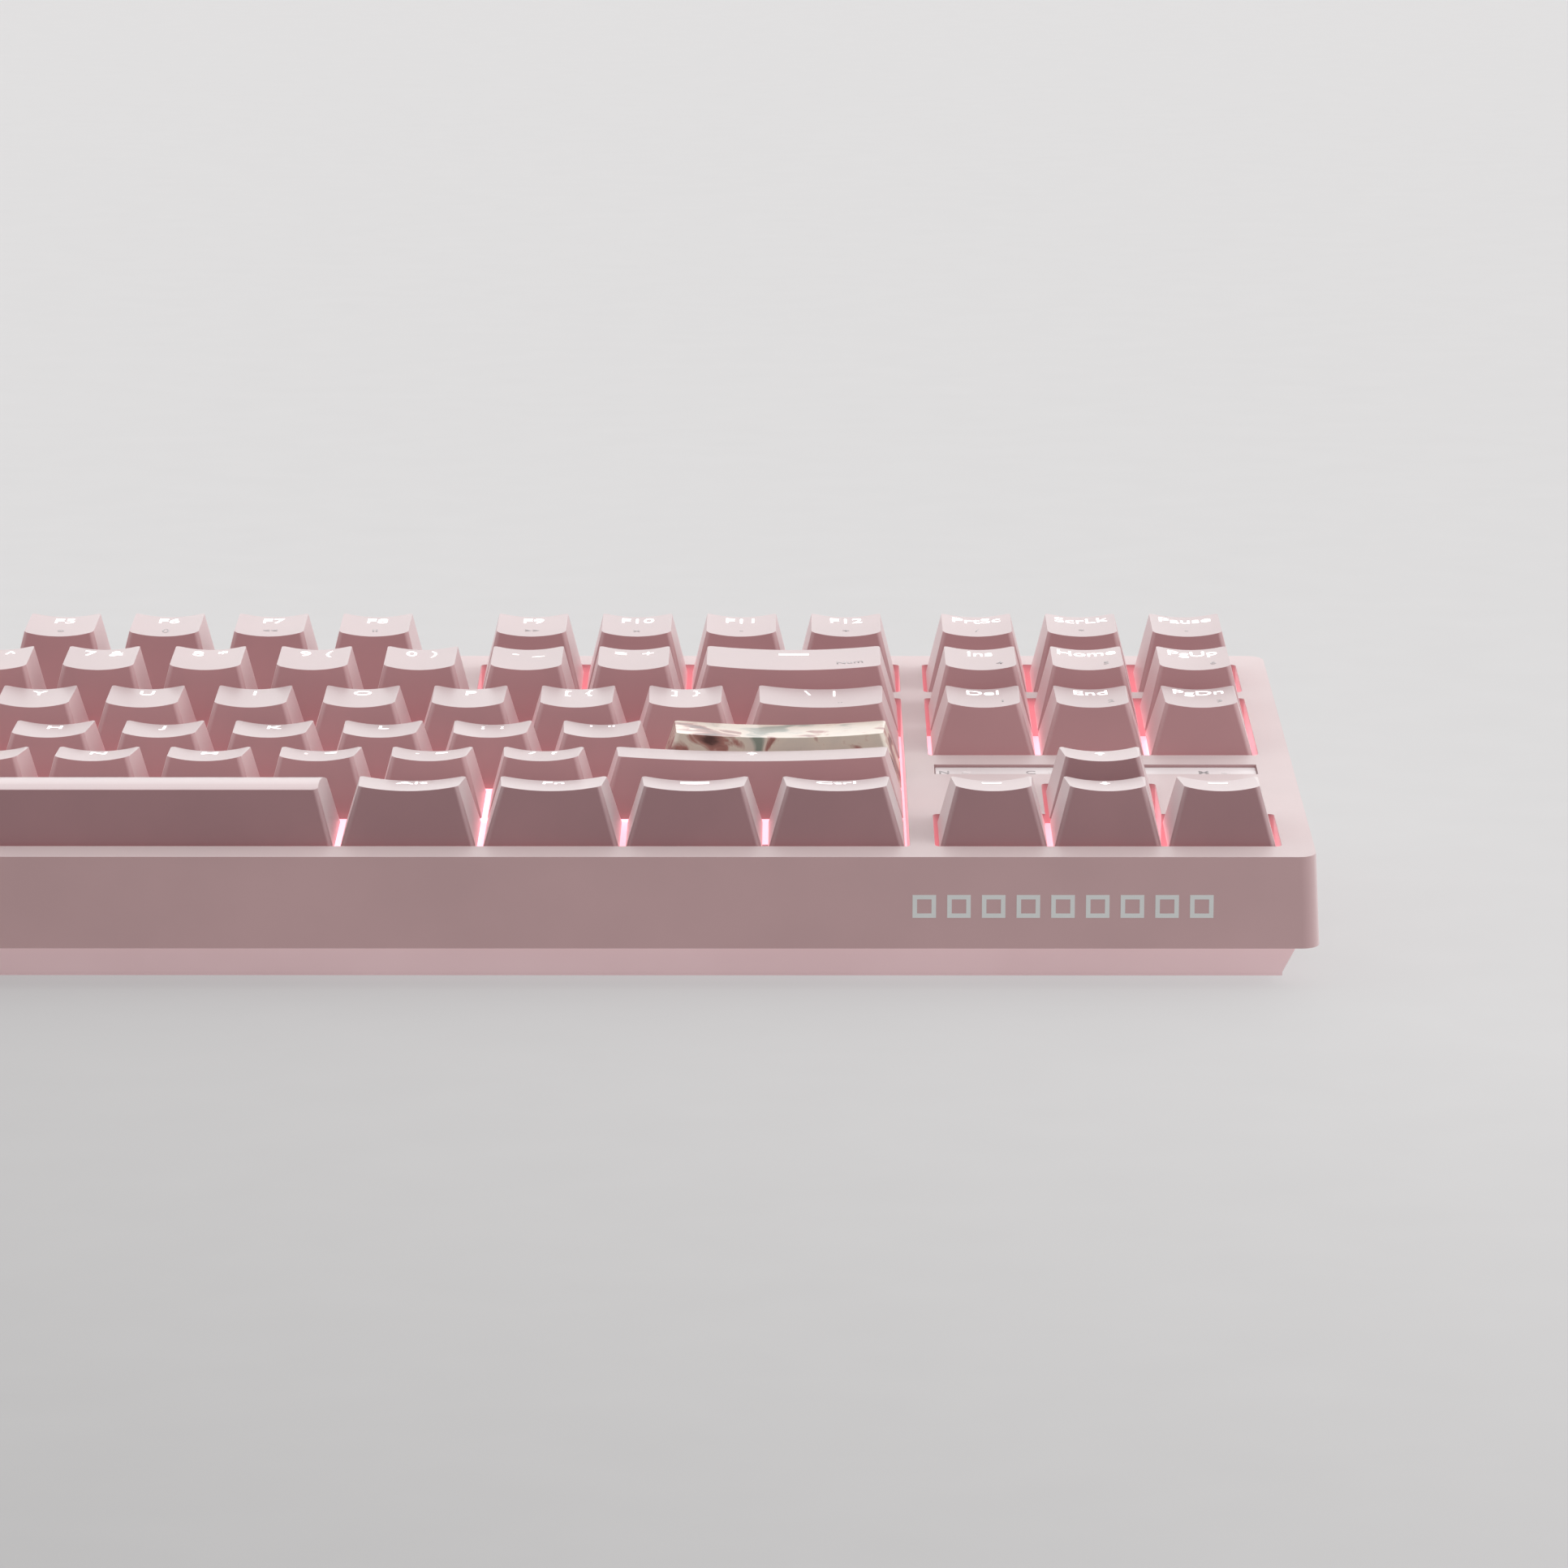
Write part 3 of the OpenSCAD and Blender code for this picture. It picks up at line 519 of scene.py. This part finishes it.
def keycap(row, width):
    cap = cap_block("cap", row, width, 0, -1 if width > 6 else 0)
    round_uprights(cap, CAP_CORNER, 3)
    cut(cap, top_cylinder(row, width), "INTERSECT" if width > 6 else "DIFFERENCE")
    soften(cap, CAP_EDGE, 2, 36)
    hollow = cap_block("hollow", row, width, CAP_WALL, DISH + CAP_ROOF)
    cut(cap, move(hollow, 0, 0, -HOLLOW_DROP))
    boss_z = (BOSS_BOTTOM + BOSS_TOP) / 2
    for x in boss_places(width):
        boss = disc("boss", BOSS_RADIUS, BOSS_TOP - BOSS_BOTTOM, (x, PITCH / 2, boss_z))
        cut(cap, boss, "UNION")
        cut(cap, cross_tool(x))
    alone(cap)
    bpy.ops.object.shade_smooth_by_angle(angle=SMOOTH_ANGLE)
    flat_faces_first(cap)
    return cap


# %% [markdown]
# ## Where the keys are
# A row is a run of keys: where it starts, in key units, which row it is, the words on its caps and
# how wide they are. The groups are the bodies that carry them, so that a group's caps and legends
# can be joined and can ride together. The words are ordinary legends, two to a cap where shift
# gives another sign.

# %% Key layout
def run(first, row, words, width=1):
    return [(first + i * width, row, width, word) for i, word in enumerate(words)]


KEYS = {
    "escape": run(0, 5, ["Esc"]),
    "function": run(2, 5, ["F1", "F2", "F3", "F4"]) + run(6.5, 5, ["F5", "F6", "F7", "F8"])
    + run(11, 5, ["F9", "F10", "F11", "F12"]),
    "system": run(NAV_UNIT, 5, ["PrtSc", "ScrLk", "Pause"]),
    "number": run(0, 4, ["`  ~", "1  !", "2  @", "3  #", "4  $", "5  %", "6  ^", "7  &", "8  *",
                         "9  (", "0  )", "-  _", "=  +"]),
    "backspace": run(13, 4, ["long dash"], 2),
    "tab": run(0, 3, ["Tab"], 1.5),
    "top_letter": run(1.5, 3, list("QWERTYUIOP") + ["[  {", "]  }"]),
    "backslash": run(13.5, 3, ["\\   |"], 1.5),
    "caps_lock": run(0, 2, ["Caps"], 1.75),
    "home_letter": run(1.75, 2, list("ASDFGHJKL") + [";  :", "'  \""]),
    "enter": run(12.75, 2, [""], 2.25),
    "left_shift": run(0, 1, ["up arrow"], 2.25),
    "bottom_letter": run(2.25, 1, list("ZXCVBNM") + [",  <", ".  >", "/  ?"]),
    "right_shift": run(12.25, 1, ["up arrow"], 2.75),
    "left_modifier": run(0, 0, ["Ctrl", "Sys", "Alt"], 1.25),
    "space_bar": run(3.75, 0, [""], 6.25),
    "right_modifier": run(10, 0, ["Alt", "Fn", "bars", "Ctrl"], 1.25),
    "navigation": run(NAV_UNIT, 4, ["Ins", "Home", "PgUp"])
    + run(NAV_UNIT, 3, ["Del", "End", "PgDn"]),
    "arrow": run(NAV_UNIT, 0, ["short dash", "down arrow", "short dash"])
    + run(NAV_UNIT + 1, 1, ["up arrow"]),
}
SMALL = {"Ins": "4", "Home": "5", "PgUp": "6", "Del": "1", "End": "2", "PgDn": "3",
         "F5": "o", "F6": "()", "F7": "<<", "F8": "II", "F9": ">>", "F10": "x", "F11": "-",
         "F12": "+", "PrtSc": "/", "ScrLk": "*", "Pause": "-", "\\   |": "..", "long dash": "Num"}
print("keys:", sum(len(keys) for keys in KEYS.values()))

# %% [markdown]
# ## Legends
# The legends are moulded right through, in a clear plastic that lets the backlight out, so they
# lie flush with the dish and shine. Each word is a text object made into a mesh, laid onto its
# cap with a Shrinkwrap along z, and given a thickness that sinks it into the cap. The arrows and
# bars are drawn from a triangle and flat strips, and laid on in the same way.

# %% Legend makers
LEGEND_SIZE = 4.6
LEGEND_SQUEEZE = 0.93
LEGEND_WEIGHT = 0.006
LEGEND_SINK = 0.12
PROUD = 0.03
HOVER = 20


def flat_bar(x, y, width, height):
    bpy.ops.object.select_all(action="DESELECT")
    bpy.ops.mesh.primitive_grid_add(x_subdivisions=6, y_subdivisions=1, size=1,
                                    location=(x, y, HOVER))
    bar = bpy.context.object
    bar.scale = (width, height, 1)
    bpy.ops.object.transform_apply(location=True, rotation=True, scale=True)
    return bar


def flat_head(x, y, size, turn):
    bpy.ops.object.select_all(action="DESELECT")
    bpy.ops.mesh.primitive_circle_add(vertices=3, radius=size, fill_type="NGON",
                                      location=(x, y, HOVER), rotation=(0, 0, turn))
    bpy.ops.object.transform_apply(location=True, rotation=True, scale=True)
    return bpy.context.object


def flat_word(text, x, y, size):
    bpy.ops.object.select_all(action="DESELECT")
    bpy.ops.object.text_add(location=(x, y, HOVER))
    word = bpy.context.object
    word.data.body = text
    word.data.size = size
    word.data.align_x = "CENTER"
    word.data.align_y = "CENTER"
    word.data.offset = LEGEND_WEIGHT * size
    word.data.resolution_u = 3
    word.scale = (LEGEND_SQUEEZE, 1, 1)
    bpy.ops.object.convert(target="MESH")
    bpy.ops.object.transform_apply(location=True, rotation=True, scale=True)
    return bpy.context.object


def sign(text, y):
    if text == "long dash":
        return [flat_bar(0, y, 5.4, 1)]
    if text == "short dash":
        return [flat_bar(0, y, 3.3, 1)]
    if text == "up arrow":
        return [flat_head(0, y + 0.6, 1.05, 0), flat_bar(0, y - 0.9, 0.6, 2)]
    if text == "down arrow":
        return [flat_head(0, y - 0.6, 1.05, math.pi), flat_bar(0, y + 0.9, 0.6, 2)]
    if text == "bars":
        return [flat_bar(0, y + step, 4.8, 0.7) for step in (-1.1, 0, 1.1)]
    return [flat_word(text, 0, y, LEGEND_SIZE)]


def lay_on(piece, cap):
    modify(piece, "SHRINKWRAP", target=cap, wrap_method="PROJECT", use_project_x=False,
           use_project_y=False, use_project_z=True, use_negative_direction=True,
           use_positive_direction=False, offset=PROUD)
    return modify(piece, "SOLIDIFY", thickness=LEGEND_SINK, offset=-1)


# %% [markdown]
# ## Caps and legends, group by group
# Each row and width of cap is modelled once and kept. A key takes a copy of it, its legend is laid
# on the kept cap and moved along with the copy, and then the group's caps are joined into one
# piece and its legends into another.

# %% Build every key
GLOW_PAINTED_GROUPS = ("escape", "function", "system", "number", "backspace", "tab", "top_letter",
              "backslash", "caps_lock", "home_letter", "left_shift", "bottom_letter",
              "right_shift", "navigation")
LEGEND_Y = 15
SMALL_Y = 8.2
SMALL_SIZE = 2.6


def small_x(text, row):
    if text == "long dash":
        return 10
    return 3.4 if row in (3, 4) else 0


kept_caps = {}
for group, keys in KEYS.items():
    caps, words, marks = [], [], []
    for first, row, width, text in keys:
        if (row, width) not in kept_caps:
            kept_caps[row, width] = keycap(row, width)
        model = kept_caps[row, width]
        x, y = LEFT + (first + width / 2) * PITCH, ROWS[row]
        caps.append(move(copy_of(model), x, y))
        if text:
            words.append(move(lay_on(join("legend", sign(text, LEGEND_Y)), model), x, y))
        if text in SMALL:
            mark = flat_word(SMALL[text], small_x(text, row), SMALL_Y, SMALL_SIZE)
            marks.append(move(lay_on(mark, model), x, y))
    node = group + ("_keycaps" if len(keys) > 1 else "_keycap")
    # The listed groups take the caps with the painted wall glow, the rest take plain pink, and the
    # enter key takes the marble.
    finish = cap_marble if group == "enter" else cap_painted_glow if group in GLOW_PAINTED_GROUPS else cap_pink
    place(join(group + "_caps", caps), group + "_keys", node, slot="keycap", finish=finish)
    if words:
        place(join(group + "_legends", words), group + "_keys", slot="legend",
              finish=legend_light)
    if marks:
        place(join(group + "_small_marks", marks), group + "_keys", slot="legend",
              finish=legend_grey)
for model in kept_caps.values():
    bpy.data.objects.remove(model)

# %% [markdown]
# ## Indicator strip and front mark
# Between the two navigation clusters a milky strip lies a little below the bezel, with a letter
# and a small round lamp for each lock. The strip is a bar with a stem under each lamp that reaches
# down to the plate. A row of small square rings is printed on the front wall as a plain mark. It
# follows the wall's slope, so the row is made flat and then stood up against it.

# %% Indicator strip
LAMP_STEP = 15
LAMP_RADIUS = 0.75
LAMP_Y = WINDOW_Y - 0.6
LETTER_ASIDE = 3.8
LETTER_SIZE = 2.8
STRIP_TOP = -0.45
STRIP_BOTTOM = -4
STRIP_GAP = 0.15
half_depth = WINDOW_DEPTH / 2 - STRIP_GAP
half_length = WINDOW_HALF - STRIP_GAP
strip = box("indicator_strip", (NAV_MIDDLE - half_length, WINDOW_Y - half_depth, STRIP_BOTTOM),
            (NAV_MIDDLE + half_length, WINDOW_Y + half_depth, STRIP_TOP))
lamps, letters = [], []
for step, letter in zip((-1.5, -0.5, 0.5, 1.5), "NCSM"):
    x = NAV_MIDDLE + step * LAMP_STEP
    cut(strip, box("stem", (x - 2, WINDOW_Y - 1.5, RIM_BOTTOM),
                   (x + 2, WINDOW_Y + 1.5, STRIP_BOTTOM + 0.1)), "UNION")
    lamps.append(soften(disc("lamp", LAMP_RADIUS, 0.1, (x, LAMP_Y, STRIP_TOP + 0.02)), 0.03, 1))
    mark = move(flat_word(letter, x - LETTER_ASIDE, LAMP_Y, LETTER_SIZE), 0, 0,
                STRIP_TOP + 0.04 - HOVER)
    letters.append(modify(mark, "SOLIDIFY", thickness=0.06, offset=-1))
soften(strip, 0.15, 2)
place(strip, "case", "indicator_window", slot="window", finish=window_white)
place(join("indicator_lamps", lamps), "case", slot="window", finish=lens_clear)
place(join("indicator_letters", letters), "case", slot="window", finish=legend_grey)

# %% Front mark
MARK_FROM, MARK_STEP, MARK_COUNT = 114.5, 5.75, 9
MARK_Z = -8.4
MARK_SIZE = 3.9
MARK_STROKE = 0.75
rings = []
for index in range(MARK_COUNT):
    ring = flat_bar(MARK_FROM + index * MARK_STEP, 0, MARK_SIZE, MARK_SIZE)
    choose(ring, "EDGE", lambda edge: not edge.is_boundary)
    bpy.ops.mesh.dissolve_edges()
    bpy.ops.mesh.select_all(action="SELECT")
    bpy.ops.mesh.inset(thickness=MARK_STROKE)
    bpy.ops.mesh.delete(type="FACE")
    done()
    rings.append(modify(move(ring, 0, 0, -HOVER), "SOLIDIFY", thickness=0.08, offset=0))
front_mark = join("front_mark", rings)
wall_slope = math.atan2(DRAFT, CASE_HEIGHT)
wall_y = CASE_FRONT + DRAFT * MARK_Z / CASE_HEIGHT
front_mark.data.transform(Matrix.Translation((0, wall_y, MARK_Z))
                          @ Matrix.Rotation(math.pi / 2 - wall_slope, 4, "X"))
place(front_mark, "case", slot="legend", finish=mark_grey)

# %% [markdown]
# ## Softened mouldings
# The tray, the feet, the pads, the screws and the socket have their true shapes in the frame
# already, down to the pockets and the screw wells, but their edges are knife-sharp, and no real
# edge is. So a copy of each is merged, its flat faces are dissolved into single ones, and its
# edges are bevelled.

# %% Tray, feet, pads, socket and screws
def softened(node, name, body, width, finish):
    piece = copy_of(frame["nodes"][node])
    piece.name = name
    choose(piece, "VERT", lambda vert: True)
    bpy.ops.mesh.remove_doubles(threshold=0.00001)
    bpy.ops.mesh.dissolve_limited(angle_limit=math.radians(0.5))
    done()
    soften(piece, width * MM, 2, 30)
    flat_faces_first(piece)
    paint(piece, finish)
    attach(piece, body)
    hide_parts(node)
    print(name, "faces:", len(piece.data.polygons))


softened("bottom_case", "tray_shell", "case", 0.3, tray_pink)
softened("left_flip_foot", "left_foot_moulding", "left_foot", 0.35, tray_pink)
softened("right_flip_foot", "right_foot_moulding", "right_foot", 0.35, tray_pink)
softened("rubber_pads", "desk_pads", "case", 0.3, pad_rubber)
softened("usb_port", "rear_socket", "case", 0.08, steel)
softened("case_screws", "screw_set", "case", 0.12, steel)

# %% [markdown]
# ## Carried-over pieces
# The switches, the plate, the boards, the springs and the wires lie deep inside and already have
# their real shapes, so they keep them and only take a finish.

# %% Finishes for the frame's own pieces
FRAME_FINISH = {
    "switch_plate": plate_glow, "switch_top_housings": housing_glow,
    "switch_bottom_housings": housing_glow, "stabilizer_housings": housing_glow,
    "backlight_leds": lamp_pink, "circuit_board": board_dark, "socket_board": board_dark,
    "controller_chips": chip_black, "switch_springs": steel,
}
for name, node in frame["nodes"].items():
    finish = FRAME_FINISH.get(name)
    if "_stem" in name:
        finish = stem_red
    if name.endswith("_wire"):
        finish = steel
    if finish:
        paint(node, finish)

# %% [markdown]
# ## Floor, light and camera
# A pale floor runs back far enough to fill the frame. Most of its brightness is a painted glow
# rather than lit paint, which keeps the shadow under the keyboard faint, and the glow is a little
# stronger towards the right and the back, a painted pool of light as a backdrop has beside its
# lamp. The light comes from above and behind, as from a big window, so the tops shine and the
# fronts stay in soft shade. A sky that is bright at the back and dim in front does this more evenly
# than lamps would. It's the sum of three broad glows, each about an axis of its own: the upper
# back, a panel low behind, and the right-hand side. The camera has a long lens, and stands about a
# metre away. Its place is given in the deck's axes.

# %% Stage
FLOOR_SIZE = 60
FLOOR_DIM, FLOOR_BRIGHT = 0.30, 0.50
FADE_FROM, FADE_TO = -0.45, 0.2
FADE_AXIS = (1.5, 1, 0)
bpy.ops.object.select_all(action="DESELECT")
bpy.ops.mesh.primitive_plane_add(size=FLOOR_SIZE)
floor = bpy.context.object
floor.name = "floor"
# Floor: a dark paint under a painted glow, stronger towards the right and the back, which keeps
# shadows on the floor faint.
floor_paint = moulded("floor_paint", (0.12, 0.119, 0.118), (0.125, 0.124, 0.123), 0.9, grain=60,
                      bump=0.0, glow=(1.0, 0.984, 0.99), strength=FLOOR_BRIGHT)
floor_nodes, floor_links = floor_paint.node_tree.nodes, floor_paint.node_tree.links
across = floor_nodes.new("ShaderNodeVectorMath")
across.operation = "DOT_PRODUCT"
across.inputs[1].default_value = FADE_AXIS
fade = floor_nodes.new("ShaderNodeMapRange")
fade.inputs["From Min"].default_value = FADE_FROM
fade.inputs["From Max"].default_value = FADE_TO
fade.inputs["To Min"].default_value = FLOOR_DIM
fade.inputs["To Max"].default_value = FLOOR_BRIGHT
floor_links.new(floor_nodes["Texture Coordinate"].outputs["Object"], across.inputs[0])
floor_links.new(across.outputs["Value"], fade.inputs["Value"])
floor_links.new(fade.outputs["Result"], floor_nodes["Principled BSDF"].inputs["Emission Strength"])
floor.data.materials.append(floor_paint)

# %% Sky
SKY_DIM, SKY_BRIGHT = 0.12, 1.2
PANEL_HEIGHT = math.radians(22)
PANEL_STRENGTH = 0.72
SIDE_STRENGTH = 0.95

world = bpy.data.worlds.new("studio")
bpy.context.scene.world = world
world.use_nodes = True
sky_nodes, sky_links = world.node_tree.nodes, world.node_tree.links
direction = sky_nodes.new("ShaderNodeTexCoord")


def sky_glow(axis, from_min, from_max, dim, bright):
    along = sky_nodes.new("ShaderNodeVectorMath")
    along.operation = "DOT_PRODUCT"
    along.inputs[1].default_value = axis
    ramp = sky_nodes.new("ShaderNodeMapRange")
    ramp.interpolation_type = "SMOOTHSTEP"
    ramp.inputs["From Min"].default_value = from_min
    ramp.inputs["From Max"].default_value = from_max
    ramp.inputs["To Min"].default_value = dim
    ramp.inputs["To Max"].default_value = bright
    sky_links.new(direction.outputs["Generated"], along.inputs[0])
    sky_links.new(along.outputs["Value"], ramp.inputs["Value"])
    return ramp.outputs["Result"]


def sky_sum(first, second):
    total = sky_nodes.new("ShaderNodeMath")
    sky_links.new(first, total.inputs[0])
    sky_links.new(second, total.inputs[1])
    return total.outputs["Value"]


upper = sky_glow((0, 0.8, 0.6), -0.4, 0.2, SKY_DIM, SKY_BRIGHT)
panel = sky_glow((0, math.cos(PANEL_HEIGHT), math.sin(PANEL_HEIGHT)), 0.78, 0.97, 0,
                 PANEL_STRENGTH)
side = sky_glow((1, 0, 0), 0.3, 0.9, 0, SIDE_STRENGTH)
background = sky_nodes["Background"]
sky_links.new(sky_sum(sky_sum(upper, panel), side), background.inputs["Strength"])
background.inputs["Color"].default_value = (1, 0.995, 0.99, 1)

# %% Camera
CAMERA_AT = (92.64, -1048.7, 304.26)
CAMERA_DIP = math.radians(15.64)
CAMERA_TURN = 0.0013
camera = bpy.data.objects.new("camera", bpy.data.cameras.new("camera"))
bpy.context.scene.collection.objects.link(camera)
camera.location = TO_WORLD @ Vector(CAMERA_AT)
camera.rotation_euler = (math.pi / 2 - CAMERA_DIP + tilt, 0, CAMERA_TURN)
camera.data.sensor_width = 36
camera.data.lens = 150.6
camera.data.clip_end = 100
bpy.context.scene.camera = camera
bpy.context.scene.view_settings.view_transform = "Standard"
print("camera dips", round(math.degrees(CAMERA_DIP - tilt), 2), "degrees")
